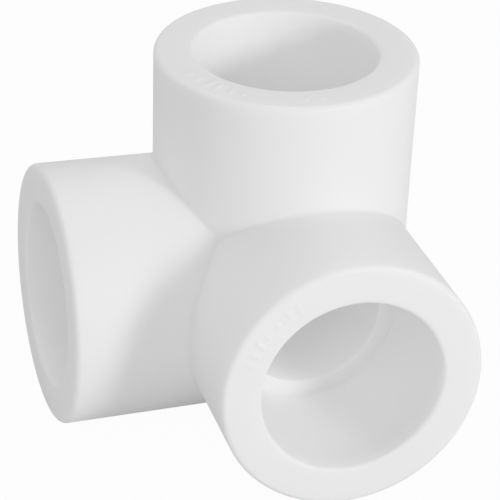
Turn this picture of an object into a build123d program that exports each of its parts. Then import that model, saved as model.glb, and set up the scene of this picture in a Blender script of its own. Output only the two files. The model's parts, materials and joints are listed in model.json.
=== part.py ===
from build123d import *
import math
import os

# Three-way corner pipe fitting, one polypropylene moulding with three equal sockets.
# Frame: the origin is where the three port axes cross. The top port opens along +Z,
# the left port along -X and the front port along -Y. All sizes are in millimetres.

# Driving dimensions, for the standard 25 mm pipe size
END_DISTANCE = 32.5  # from the crossing of the axes to each port's end face
RIM_RADIUS = 17.5  # outside of a socket at its end face
DRAFT_ANGLE = 0.7  # degrees; the outside narrows towards the hub
SOCKET_RADIUS = 12.2  # bore that the pipe is fused into
SOCKET_DEPTH = 18.5  # from the end face to the stop shoulder
WATERWAY_RADIUS = 10.0  # passage behind the stop shoulder
RIM_ROUND = 0.7  # outer edge of the end face
MOUTH_ROUND = 0.5  # inner edge of the end face

# Derived sizes
HUB_RADIUS = RIM_RADIUS - END_DISTANCE * math.tan(math.radians(DRAFT_ANGLE))
STOP_DISTANCE = END_DISTANCE - SOCKET_DEPTH
CUT_MARGIN = 2.0  # how far a cutter runs past the end face


def port_plane(direction):
    """The plane whose normal is a port's axis and whose origin is the crossing of the axes."""
    return Plane(origin=(0, 0, 0), z_dir=direction)


def turned(profile_edges):
    """A solid of revolution about Z from a closed chain of edges in the XZ plane."""
    return revolve(make_face(profile_edges), axis=Axis.Z, revolution_arc=360)


def socket_outside():
    """One socket's solid outside: a tapered barrel with a rounded rim, standing on the origin."""
    corner = RIM_ROUND * math.sin(math.radians(45))
    round_top = (RIM_RADIUS - RIM_ROUND, 0, END_DISTANCE)
    round_middle = (RIM_RADIUS - RIM_ROUND + corner, 0, END_DISTANCE - RIM_ROUND + corner)
    round_bottom = (RIM_RADIUS, 0, END_DISTANCE - RIM_ROUND)
    return turned(
        [
            Line((0, 0, 0), (HUB_RADIUS, 0, 0)),
            Line((HUB_RADIUS, 0, 0), round_bottom),
            ThreePointArc(round_bottom, round_middle, round_top),
            Line(round_top, (0, 0, END_DISTANCE)),
            Line((0, 0, END_DISTANCE), (0, 0, 0)),
        ]
    )


def port_passage():
    """The space inside one port: waterway, stop shoulder, socket and rounded mouth."""
    corner = MOUTH_ROUND * (1 - math.sin(math.radians(45)))
    mouth_bottom = (SOCKET_RADIUS, 0, END_DISTANCE - MOUTH_ROUND)
    mouth_middle = (SOCKET_RADIUS + corner, 0, END_DISTANCE - corner)
    mouth_top = (SOCKET_RADIUS + MOUTH_ROUND, 0, END_DISTANCE)
    cutter_top = END_DISTANCE + CUT_MARGIN
    return turned(
        [
            Line((0, 0, 0), (WATERWAY_RADIUS, 0, 0)),
            Line((WATERWAY_RADIUS, 0, 0), (WATERWAY_RADIUS, 0, STOP_DISTANCE)),
            Line((WATERWAY_RADIUS, 0, STOP_DISTANCE), (SOCKET_RADIUS, 0, STOP_DISTANCE)),
            Line((SOCKET_RADIUS, 0, STOP_DISTANCE), mouth_bottom),
            ThreePointArc(mouth_bottom, mouth_middle, mouth_top),
            Line(mouth_top, (SOCKET_RADIUS + MOUTH_ROUND, 0, cutter_top)),
            Line((SOCKET_RADIUS + MOUTH_ROUND, 0, cutter_top), (0, 0, cutter_top)),
            Line((0, 0, cutter_top), (0, 0, 0)),
        ]
    )


def fitting_body():
    """The whole moulding: three sockets on a ball-ended hub, hollowed by the three passages."""
    directions = [(0, 0, 1), (-1, 0, 0), (0, -1, 0)]
    outside = Sphere(HUB_RADIUS)
    for direction in directions:
        outside += port_plane(direction) * socket_outside()
    inside = Sphere(WATERWAY_RADIUS)
    for direction in directions:
        inside += port_plane(direction) * port_passage()
    return outside - inside


def main():
    """Write one STEP file per separate piece; the fitting is a single piece."""
    os.makedirs("parts", exist_ok=True)
    body = fitting_body()
    body.label = "fitting_body"
    export_step(body, "parts/fitting_body.step")


main()
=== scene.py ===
import json
import math

import bmesh
import bpy
import numpy as np
from mathutils import Matrix, Vector


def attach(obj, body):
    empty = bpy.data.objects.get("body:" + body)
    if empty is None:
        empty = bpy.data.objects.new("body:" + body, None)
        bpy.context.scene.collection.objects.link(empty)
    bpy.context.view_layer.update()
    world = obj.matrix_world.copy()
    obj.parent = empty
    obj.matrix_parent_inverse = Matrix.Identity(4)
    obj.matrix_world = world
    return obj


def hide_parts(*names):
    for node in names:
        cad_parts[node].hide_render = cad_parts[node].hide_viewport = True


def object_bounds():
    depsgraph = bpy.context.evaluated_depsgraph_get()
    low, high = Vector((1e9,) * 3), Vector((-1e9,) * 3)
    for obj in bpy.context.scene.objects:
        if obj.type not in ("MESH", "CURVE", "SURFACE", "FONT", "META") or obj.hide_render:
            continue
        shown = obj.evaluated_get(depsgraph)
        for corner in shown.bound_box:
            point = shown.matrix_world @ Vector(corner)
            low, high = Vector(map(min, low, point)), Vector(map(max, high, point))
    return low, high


# Three-way corner pipe fitting: the finished look of one white polypropylene moulding.
# Sizes below are in millimetres and angles in degrees; every mesh is made in metres.

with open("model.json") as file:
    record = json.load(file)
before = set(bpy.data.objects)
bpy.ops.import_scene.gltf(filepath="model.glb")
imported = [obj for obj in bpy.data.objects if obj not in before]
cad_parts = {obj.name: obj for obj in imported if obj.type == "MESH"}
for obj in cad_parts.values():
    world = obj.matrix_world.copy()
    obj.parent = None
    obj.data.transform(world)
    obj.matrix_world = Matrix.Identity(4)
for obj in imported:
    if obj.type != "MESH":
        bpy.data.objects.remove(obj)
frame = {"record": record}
cad_low, cad_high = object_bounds()

MM = 0.001
NODE = "fitting_body"
BODY = "root"

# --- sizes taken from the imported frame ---
MOUNTS = {mount["name"]: mount for mount in frame["record"]["mounts"]}
TOP_SOCKET = MOUNTS["top_socket"]
END_DISTANCE = cad_high.z / MM
RIM_RADIUS = cad_high.x / MM
SOCKET_RADIUS = TOP_SOCKET["dims"]["r_mm"]
WALL_MIDDLE = TOP_SOCKET["pos_m"][2] / MM
WALL_TOP = WALL_MIDDLE + TOP_SOCKET["dims"]["length_mm"] / 2
STOP_DISTANCE = WALL_MIDDLE - TOP_SOCKET["dims"]["length_mm"] / 2

# --- details of the moulding that the frame doesn't state ---
DRAFT = math.tan(math.radians(0.7))  # every wall narrows towards the hub
RIM_ROUND = 0.7  # outer edge of the end face
MOUTH_ROUND = END_DISTANCE - WALL_TOP  # inner edge of the end face
WATERWAY_RADIUS = 10.0  # just inside the stop shoulder
STOP_ROOT = 0.4  # fillet where the socket wall meets the shoulder
STOP_EDGE = 0.3  # rounded inner edge of the shoulder
CREASE_FILLET = 0.45  # rolling-ball fillet in the valleys between the sockets
RIDGE_ROUND = 0.4  # rounded ridges where the waterways meet inside

# Angles round the top port: -X is at 180 degrees and -Y at 270, so that all three valleys
# meet half way between the other two ports.
CORNER_ANGLE = math.radians(225)

# --- how finely the mesh is cut ---
CREASE_STEPS = 4
RIDGE_STEPS = 3
FLANK_STEPS = 9
BARREL_STEPS = 7
RIM_STEPS = 8
MOUTH_STEPS = 6
FACE_CELL = 0.15  # width of the rings across an end face
SOCKET_STEPS = 8
SMALL_ARC_STEPS = 4
CREASE_COLUMNS = 126  # from the end of a crease to the corner where all three meet
BALL_COLUMNS = 36  # across the quarter where a port runs onto the hub's ball
FULL_RING = 20.5  # height of the first ring that runs clear round the outside
FULL_RING_INSIDE = 11.6  # the same for the waterway
WELD = 0.002  # points closer than this become one
ANGLE_SAMPLES = 2000  # for spacing the columns evenly by their density
MARK_SIDE = 172.0  # past this angle the columns stand closer together
MARK_SIDE_BLEND = 6.0
MARK_SIDE_DENSITY = 5.5  # times as many columns there as on the far side

# --- raised marks on the rims: plain dots and dashes, in the place of the moulded lettering ---
MARK_HEIGHT = 0.11
MARK_EDGE = 0.3
MARK_HALF_WIDTH = 0.32
MARK_RADIUS = 14.9
# rows of marks on each port: angle of the first, angle between them, how many, half length
MARK_ROWS = {
    "top": [(196.0, 7.2, 2, 0.2), (211.0, 5.0, 2, 0.6), (224.0, 7.0, 2, 0.15), (262.0, 8.0, 2, 0.2)],
    "left": [(204.0, 6.6, 3, 0.3), (227.0, 7.0, 2, 0.1)],
    "front": [(212.0, 5.6, 2, 0.5), (225.0, 7.0, 2, 0.1), (238.0, 5.6, 3, 0.4)],
}

# --- the plastic; patches, grain and swell are as wide as their sizes say ---
DARK_TONE = (0.94, 0.94, 0.935, 1)
LIGHT_TONE = (0.96, 0.96, 0.96, 1)
TONE_PATCH = 9.0
ROUGHNESS = (0.46, 0.6)
ROUGHNESS_PATCH = 2.5
REFRACTION = 1.49
TRANSLUCENCY = 0.8
LIGHT_SPREAD = 1.5  # how far light travels under the skin
GRAIN_SIZE = 0.25
GRAIN_DEPTH = 0.02
GRAIN_STRENGTH = 0.12
SWELL_SIZE = 6.0
SWELL_DEPTH = 0.08
SWELL_STRENGTH = 0.25

# --- the studio ---
DISPLAY_GAMMA = 2.0  # lifts the shadows, as a bright catalogue picture does
ROOM_LIGHT = 0.2  # strength of the even white room around the fitting
FLOOR_LIFT = 0.94  # how far the floor is brightened for the camera
FLOOR_TONE = (0.65, 0.65, 0.65, 1)
FLOOR_HALF_WIDTH = 1.5  # metres
WHITE = (1, 1, 1, 1)
LAMP_DISTANCE = 0.8  # metres from the origin
# each soft box: azimuth, elevation, width in metres, power in watts
LAMPS = {
    "key_front_right": (32, 16, 0.15, 2.42),
    "fill_back_top": (180, 65, 0.5, 1.12),
    "fill_front_left": (-30, 35, 0.5, 0.97),
    "fill_right": (60, 35, 0.5, 0.22),
    "fill_back_left": (-135, 35, 0.5, 0.4),
}

# --- the camera ---
SENSOR_WIDTH = 36.0
LENS = 192.4
CAMERA_TARGET = (-3.29, 2.12, 1.79)
CAMERA_AZIMUTH = -18.1
CAMERA_ELEVATION = 28.93
CAMERA_DISTANCE = 366.2
CAMERA_ROLL = 2.25


def unit(vectors):
    """The vectors scaled to length one along the last axis."""
    return vectors / np.linalg.norm(vectors, axis=-1, keepdims=True)


def slerp(start, end, share):
    """Unit vectors part of the way along the great circle from start to end."""
    cosine = np.clip((start * end).sum(-1, keepdims=True), -1, 1)
    angle = np.arccos(cosine)
    sine = np.sin(angle)
    small = sine < 1e-6
    safe = np.where(small, 1, sine)
    curved = (np.sin((1 - share) * angle) * start + np.sin(share * angle) * end) / safe
    return unit(np.where(small, (1 - share) * start + share * end, curved))


def coons(bottom, top, left, right):
    """Unit vectors that fill a four-sided patch between its edge rows of unit vectors."""
    rows, columns = len(left), len(bottom)
    u = np.linspace(0, 1, columns)[None, :, None]
    v = np.linspace(0, 1, rows)[:, None, None]
    across = (1 - v) * bottom[None] + v * top[None]
    along = (1 - u) * left[:, None] + u * right[:, None]
    corners = (
        (1 - u) * (1 - v) * bottom[0] + u * (1 - v) * bottom[-1] + (1 - u) * v * top[0] + u * v * top[-1]
    )
    patch = unit(across + along - corners)
    patch[0], patch[-1], patch[:, 0], patch[:, -1] = bottom, top, left, right
    return patch


class Branches:
    """Three equal tapered barrels along +Z, -X and -Y that share a ball, blended where they meet.

    Each barrel's radius is `base` at the origin and grows by DRAFT per unit of height. The valleys
    between barrels are filled by a ball of radius `fillet` rolling along them. All arrays are for
    the barrel along +Z; the others are the same turned about the shared corner.
    """

    def __init__(self, base, fillet, steps):
        self.base = base
        self.fillet = fillet
        self.steps = steps
        self.slant = math.sqrt(1 + DRAFT * DRAFT)

    def radius(self, height):
        return self.base + DRAFT * height

    def crease(self, angles):
        """Where the rolling ball sits beside the barrel along -X, and the directions of its two touches."""
        c, s = np.cos(angles), np.sin(angles)
        reach = self.base + self.fillet * self.slant
        height = -reach * c / (1 + DRAFT * c)
        radial = reach + DRAFT * height
        centre = np.stack([radial * c, radial * s, height], -1)
        own = np.stack([c, s, -DRAFT * np.ones_like(c)], -1) / self.slant
        other = np.stack([DRAFT * np.ones_like(c), s, -c], -1) / self.slant
        return centre, own, unit(own + other)

    def valley(self, angles):
        """Rows of points from the middle of the valley beside -X up to this barrel's own flank."""
        centre, own, middle = self.crease(angles)
        shares = np.linspace(0, 1, self.steps + 1)
        return np.stack([centre - self.fillet * slerp(middle, own, share) for share in shares])

    def corner(self):
        """This barrel's third of the ball-shaped patch where all three valleys meet."""
        centre, own, middle = (part[0] for part in self.crease(np.array([CORNER_ANGLE])))
        swapped = middle[[1, 0, 2]]
        deepest = unit(np.array([-1.0, -1.0, 1.0]))
        shares = np.linspace(0, 1, self.steps + 1)[:, None]
        patch = coons(
            slerp(own[None], middle[None], shares),
            slerp(swapped[None], deepest[None], shares),
            slerp(own[None], swapped[None], shares),
            slerp(middle[None], deepest[None], shares),
        )
        return centre - self.fillet * patch

    def ball_edge(self, angles):
        """Where the barrel runs onto the hub's ball with no change of slope."""
        c, s = np.cos(angles), np.sin(angles)
        flat = np.stack([c, s, -DRAFT * np.ones_like(c)], -1)
        return self.base / self.slant**2 * flat

    def ball_third(self, angles):
        """The third of the ball's free part next to the end of the crease between +Z and -X."""
        own = unit(self.ball_edge(angles))
        other = np.stack([-own[:, 2], own[:, 1], -own[:, 0]], -1)
        centre = unit(np.array([1.0, 1.0, -1.0]))
        shares = np.linspace(0, 1, len(angles))[:, None]
        patch = coons(
            own,
            slerp(other[-1][None], centre[None], shares),
            other,
            slerp(own[-1][None], centre[None], shares),
        )
        return self.base / self.slant * patch


def column_angles():
    """Angles round a port, closer together where the rim carries its raised marks."""
    crease_end = math.acos(DRAFT)
    steps = np.linspace(crease_end, CORNER_ANGLE, ANGLE_SAMPLES)
    closeness = 1 / (1 + np.exp((MARK_SIDE - np.degrees(steps)) / MARK_SIDE_BLEND))
    density = 1 + (MARK_SIDE_DENSITY - 1) * closeness
    total = np.concatenate([[0], np.cumsum((density[1:] + density[:-1]) / 2)])
    beside_left = np.interp(np.linspace(0, total[-1], CREASE_COLUMNS + 1), total, steps)
    beside_left[0], beside_left[-1] = crease_end, CORNER_ANGLE
    beside_front = (2 * CORNER_ANGLE - beside_left)[::-1]
    ball = np.linspace(beside_front[-1], crease_end + 2 * math.pi, BALL_COLUMNS + 1)
    return beside_left, beside_front, ball


def arc(radius, height, size, start, end, steps):
    """Profile points (radius, height) along a circular arc, without its first point."""
    angles = np.radians(np.linspace(start, end, steps + 1)[1:])
    return [(radius + size * math.cos(a), height + size * math.sin(a)) for a in angles]


def straight(start, end, steps):
    """Profile points along a straight line, without its first point."""
    return [tuple(np.array(start) + (np.array(end) - start) * i / steps) for i in range(1, steps + 1)]


def port_profile(outside, inside):
    """Rings (radius, height) from the outside barrel over the rim and down to the waterway."""
    rim_foot = (outside.radius(END_DISTANCE - RIM_ROUND), END_DISTANCE - RIM_ROUND)
    rim_centre = rim_foot[0] - RIM_ROUND
    mouth_centre = SOCKET_RADIUS + MOUTH_ROUND
    face_steps = round((rim_centre - mouth_centre) / FACE_CELL)
    edge_foot = (inside.radius(STOP_DISTANCE - STOP_EDGE), STOP_DISTANCE - STOP_EDGE)
    edge_centre = edge_foot[0] + STOP_EDGE
    rings = [(outside.radius(FULL_RING), FULL_RING)]
    rings += straight(rings[-1], rim_foot, BARREL_STEPS)
    rings += arc(rim_centre, END_DISTANCE - RIM_ROUND, RIM_ROUND, 0, 90, RIM_STEPS)
    rings += straight(rings[-1], (mouth_centre, END_DISTANCE), face_steps)
    rings += arc(mouth_centre, END_DISTANCE - MOUTH_ROUND, MOUTH_ROUND, 90, 180, MOUTH_STEPS)
    rings += straight(rings[-1], (SOCKET_RADIUS, STOP_DISTANCE + STOP_ROOT), SOCKET_STEPS)
    rings += arc(SOCKET_RADIUS - STOP_ROOT, STOP_DISTANCE + STOP_ROOT, STOP_ROOT, 0, -90, SMALL_ARC_STEPS)
    rings += straight(rings[-1], (edge_centre, STOP_DISTANCE), SMALL_ARC_STEPS)
    rings += arc(edge_centre, STOP_DISTANCE - STOP_EDGE, STOP_EDGE, 90, 180, SMALL_ARC_STEPS)
    rings += straight(rings[-1], (inside.radius(FULL_RING_INSIDE), FULL_RING_INSIDE), SMALL_ARC_STEPS)
    return rings


def mark_height(port, angles, radii):
    """How far the raised dots and dashes stand off a port's end face."""
    away = np.full(np.broadcast_shapes(angles.shape, radii.shape), np.inf)
    for start, pitch, count, half_length in MARK_ROWS[port]:
        along = np.maximum(np.abs(radii - MARK_RADIUS) - half_length, 0)
        for index in range(count):
            across = (angles - math.radians(start + index * pitch)) * radii
            away = np.minimum(away, np.hypot(across, along))
    rise = np.clip(0.5 + (MARK_HALF_WIDTH - away) / MARK_EDGE, 0, 1)
    return MARK_HEIGHT * rise * rise * (3 - 2 * rise)


def flank(branches, foot, ring_height):
    """Rows from a barrel's foot line up to just under its first full ring."""
    angles = np.arctan2(foot[:, 1], foot[:, 0])
    rows = []
    for share in np.linspace(0, 1, FLANK_STEPS + 1)[1:-1]:
        height = foot[:, 2] + (ring_height - foot[:, 2]) * share
        radius = branches.radius(height)
        rows.append(np.stack([radius * np.cos(angles), radius * np.sin(angles), height], -1))
    return np.stack(rows)


def lower_rows(branches, angles, side, ring_height):
    """Rows from the valley or the ball up to the first full ring, on one side of the port."""
    if side == "left":
        valley = branches.valley(angles)
    elif side == "front":
        valley = branches.valley(2 * CORNER_ANGLE - angles)[:, :, [1, 0, 2]]
    else:
        valley = branches.ball_edge(angles)[None]
    return np.concatenate([valley, flank(branches, valley[-1], ring_height)])


def port_grid(outside, inside, angles, side, port):
    """One side of a port as a grid of points, from the outside valley over the rim to the inside one."""
    rings = np.array(port_profile(outside, inside))
    radius, height = rings[:, 0][:, None], rings[:, 1][:, None]
    lift = np.where(height > END_DISTANCE - 1e-6, mark_height(port, angles[None] % (2 * math.pi), radius), 0)
    shape = (len(rings), len(angles))
    middle = np.stack(
        [radius * np.cos(angles), radius * np.sin(angles), np.broadcast_to(height + lift, shape)], -1
    )
    first = lower_rows(outside, angles, side, FULL_RING)
    last = lower_rows(inside, angles, side, FULL_RING_INSIDE)[::-1]
    return np.concatenate([first, middle, last])


def turn_to_left(points):
    """The same shape turned from the port along +Z to the port along -X; twice gives the one along -Y."""
    return np.stack([-points[..., 2], points[..., 0], -points[..., 1]], -1)


def fitting_patches():
    """Every patch of the moulding's skin, inside and outside, as grids of points in millimetres."""
    outside = Branches(RIM_RADIUS - DRAFT * (END_DISTANCE - RIM_ROUND), CREASE_FILLET, CREASE_STEPS)
    inside = Branches(WATERWAY_RADIUS - DRAFT * (STOP_DISTANCE - STOP_EDGE), RIDGE_ROUND, RIDGE_STEPS)
    beside_left, beside_front, ball = column_angles()
    ball_half = np.linspace(beside_left[0], math.radians(45), BALL_COLUMNS // 2 + 1)
    patches = []
    for turns, port in enumerate(("top", "left", "front")):
        own = [
            port_grid(outside, inside, beside_left, "left", port),
            port_grid(outside, inside, beside_front, "front", port),
            port_grid(outside, inside, ball, "ball", port),
        ]
        for branches in (outside, inside):
            own.append(branches.corner())
            own.append(branches.ball_third(ball_half))
        for patch in own:
            for _ in range(turns):
                patch = turn_to_left(patch)
            patches.append(patch)
    return patches


def skin_mesh(name, patches):
    """One closed mesh from grids whose edges meet, in metres."""
    bm = bmesh.new()
    for patch in patches:
        rows, columns = patch.shape[:2]
        vertices = [[bm.verts.new(Vector(point) * MM) for point in row] for row in patch]
        for i in range(rows - 1):
            for j in range(columns - 1):
                bm.faces.new(
                    (vertices[i][j], vertices[i][j + 1], vertices[i + 1][j + 1], vertices[i + 1][j])
                )
    bmesh.ops.remove_doubles(bm, verts=bm.verts, dist=WELD * MM)
    bmesh.ops.recalc_face_normals(bm, faces=bm.faces)
    for face in bm.faces:
        face.smooth = True
    mesh = bpy.data.meshes.new(name)
    bm.to_mesh(mesh)
    bm.free()
    return mesh


def add_object(name, mesh):
    """A new object in the scene that shows this mesh."""
    thing = bpy.data.objects.new(name, mesh)
    bpy.context.scene.collection.objects.link(thing)
    return thing


class Nodes:
    """A short way to build a material's node tree."""

    def __init__(self, name):
        self.material = bpy.data.materials.new(name)
        self.material.use_nodes = True
        self.tree = self.material.node_tree
        self.shader = self.tree.nodes["Principled BSDF"]

    def add(self, kind, **settings):
        node = self.tree.nodes.new(kind)
        for key, value in settings.items():
            if key in node.inputs:
                node.inputs[key].default_value = value
            else:
                setattr(node, key, value)
        return node

    def link(self, output, socket):
        self.tree.links.new(output, socket)


def noise(nodes, place, size, detail, roughness=0.5):
    """A noise pattern whose blobs are about `size` millimetres across, as its 0 to 1 value."""
    node = nodes.add("ShaderNodeTexNoise", Scale=1 / (size * MM), Detail=detail, Roughness=roughness)
    nodes.link(place, node.inputs["Vector"])
    return node.outputs["Fac"]


def spread(nodes, value, low, high):
    """Stretches a noise value's usual middle band, 0.3 to 0.7, over low to high."""
    band = {"From Min": 0.3, "From Max": 0.7, "To Min": low, "To Max": high}
    node = nodes.add("ShaderNodeMapRange", **band)
    nodes.link(value, node.inputs["Value"])
    return node.outputs["Result"]


def polypropylene():
    """White moulded polypropylene: slightly milky, with a satin skin and faint unevenness."""
    nodes = Nodes("white_polypropylene_skin")
    place = nodes.add("ShaderNodeTexCoord").outputs["Object"]
    shader = nodes.shader
    tone = nodes.add("ShaderNodeMix", data_type="RGBA")
    tone.inputs["A"].default_value = DARK_TONE
    tone.inputs["B"].default_value = LIGHT_TONE
    nodes.link(spread(nodes, noise(nodes, place, TONE_PATCH, 3), 0, 1), tone.inputs["Factor"])
    nodes.link(tone.outputs["Result"], shader.inputs["Base Color"])
    gloss = spread(nodes, noise(nodes, place, ROUGHNESS_PATCH, 4), *ROUGHNESS)
    nodes.link(gloss, shader.inputs["Roughness"])
    shader.inputs["IOR"].default_value = REFRACTION
    shader.inputs["Subsurface Weight"].default_value = TRANSLUCENCY
    shader.inputs["Subsurface Radius"].default_value = (1.0, 1.0, 1.0)
    shader.inputs["Subsurface Scale"].default_value = LIGHT_SPREAD * MM
    grain = nodes.add("ShaderNodeBump", Strength=GRAIN_STRENGTH, Distance=GRAIN_DEPTH * MM)
    nodes.link(noise(nodes, place, GRAIN_SIZE, 3), grain.inputs["Height"])
    swell = nodes.add("ShaderNodeBump", Strength=SWELL_STRENGTH, Distance=SWELL_DEPTH * MM)
    nodes.link(noise(nodes, place, SWELL_SIZE, 1), swell.inputs["Height"])
    nodes.link(grain.outputs["Normal"], swell.inputs["Normal"])
    nodes.link(swell.outputs["Normal"], shader.inputs["Normal"])
    return nodes.material


def floor_material():
    """Plain pale studio floor, lifted for the camera so that shadows on it stay faint."""
    nodes = Nodes("pale_floor")
    nodes.shader.inputs["Base Color"].default_value = FLOOR_TONE
    nodes.shader.inputs["Roughness"].default_value = 0.9
    nodes.shader.inputs["Specular IOR Level"].default_value = 0.1
    seen = nodes.add("ShaderNodeLightPath").outputs["Is Camera Ray"]
    share = nodes.add("ShaderNodeMath", operation="MULTIPLY")
    share.inputs[1].default_value = FLOOR_LIFT
    nodes.link(seen, share.inputs[0])
    lifted = nodes.add("ShaderNodeMixShader")
    nodes.link(share.outputs["Value"], lifted.inputs["Fac"])
    nodes.link(nodes.shader.outputs["BSDF"], lifted.inputs[1])
    nodes.link(nodes.add("ShaderNodeEmission").outputs["Emission"], lifted.inputs[2])
    nodes.link(lifted.outputs["Shader"], nodes.tree.nodes["Material Output"].inputs["Surface"])
    return nodes.material


def build_fitting():
    """The visible moulding, which stands for the CAD body."""
    fitting = add_object("fitting_moulding", skin_mesh("fitting_moulding", fitting_patches()))
    fitting.data.materials.append(polypropylene())
    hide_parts(NODE)
    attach(fitting, BODY)


def build_floor():
    """A wide sheet that the fitting stands on."""
    half = FLOOR_HALF_WIDTH
    height = cad_low.z
    corners = [(-half, -half, height), (half, -half, height), (half, half, height), (-half, half, height)]
    mesh = bpy.data.meshes.new("floor")
    mesh.from_pydata(corners, [], [(0, 1, 2, 3)])
    floor = add_object("floor", mesh)
    floor.data.materials.append(floor_material())


def aim(thing, place, target, roll=0.0):
    """Puts a lamp or camera at a place, looking at a target, turned by roll degrees about its view."""
    looking = (Vector(target) - Vector(place)).to_track_quat("-Z", "Y").to_matrix().to_4x4()
    thing.matrix_world = Matrix.Translation(place) @ looking @ Matrix.Rotation(math.radians(roll), 4, "Z")


def around(azimuth, elevation, distance, target):
    """A place at a distance from a target; azimuth 0 is in front of the fitting, 90 on its right."""
    a, e = math.radians(azimuth), math.radians(elevation)
    away = Vector((math.sin(a) * math.cos(e), -math.cos(a) * math.cos(e), math.sin(e)))
    return Vector(target) + away * distance


def add_lamp(name, azimuth, elevation, width, power):
    """A square soft box aimed at the fitting."""
    data = bpy.data.lights.new(name, "AREA")
    data.shape = "SQUARE"
    data.size = width
    data.energy = power
    lamp = bpy.data.objects.new(name, data)
    bpy.context.scene.collection.objects.link(lamp)
    origin = (0, 0, 0)
    aim(lamp, around(azimuth, elevation, LAMP_DISTANCE, origin), origin)


def build_lights():
    """A small low key light from the front right, and broad soft boxes over an even white room."""
    for name, settings in LAMPS.items():
        add_lamp(name, *settings)


def build_surroundings():
    """An even white room; the camera sees it brighter than it lights the fitting."""
    world = bpy.data.worlds.new("studio")
    world.use_nodes = True
    tree = world.node_tree
    strength = tree.nodes.new("ShaderNodeMapRange")
    strength.inputs["To Min"].default_value = ROOM_LIGHT
    strength.inputs["To Max"].default_value = 1.0
    seen = tree.nodes.new("ShaderNodeLightPath").outputs["Is Camera Ray"]
    tree.links.new(seen, strength.inputs["Value"])
    tree.links.new(strength.outputs["Result"], tree.nodes["Background"].inputs["Strength"])
    tree.nodes["Background"].inputs["Color"].default_value = WHITE
    bpy.context.scene.world = world


def build_camera():
    """A long lens from the left front, looking down, with a slight roll."""
    data = bpy.data.cameras.new("camera")
    data.sensor_width = SENSOR_WIDTH
    data.lens = LENS
    camera = bpy.data.objects.new("camera", data)
    bpy.context.scene.collection.objects.link(camera)
    target = Vector(CAMERA_TARGET) * MM
    place = around(CAMERA_AZIMUTH, CAMERA_ELEVATION, CAMERA_DISTANCE * MM, target)
    aim(camera, place, target, CAMERA_ROLL)
    bpy.context.scene.camera = camera


bpy.context.scene.view_settings.view_transform = "Standard"
bpy.context.scene.view_settings.gamma = DISPLAY_GAMMA
build_fitting()
build_floor()
build_lights()
build_surroundings()
build_camera()
